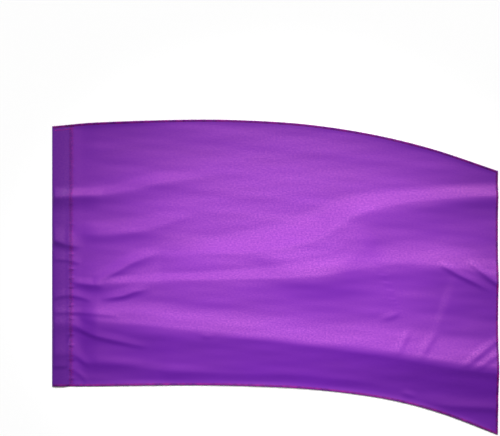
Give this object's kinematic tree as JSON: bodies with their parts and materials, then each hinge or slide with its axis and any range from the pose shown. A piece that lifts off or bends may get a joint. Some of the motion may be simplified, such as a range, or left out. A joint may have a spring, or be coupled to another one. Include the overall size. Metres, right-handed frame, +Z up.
{
  "type": "worship flag",
  "caption": "Worship flag of satin cloth with curved long edges, lying flat in soft folds, with hemmed edges and a pole sleeve along its straight short edge.",
  "frame": {"origin": "under the middle of the flag's outline, on the surface that it lies on", "axes": "+X from the pole sleeve to the fly end, +Y towards the flag's upper edge, +Z up from the surface"},
  "size_m": [1.016, 0.7182, 0.0196],
  "materials": {
    "satin": "satin",
    "doubled_satin": "satin"
  },
  "bodies": {
    "root": {"flag_panel": "satin", "pole_sleeve": "doubled_satin"}
  },
  "joints": []
}
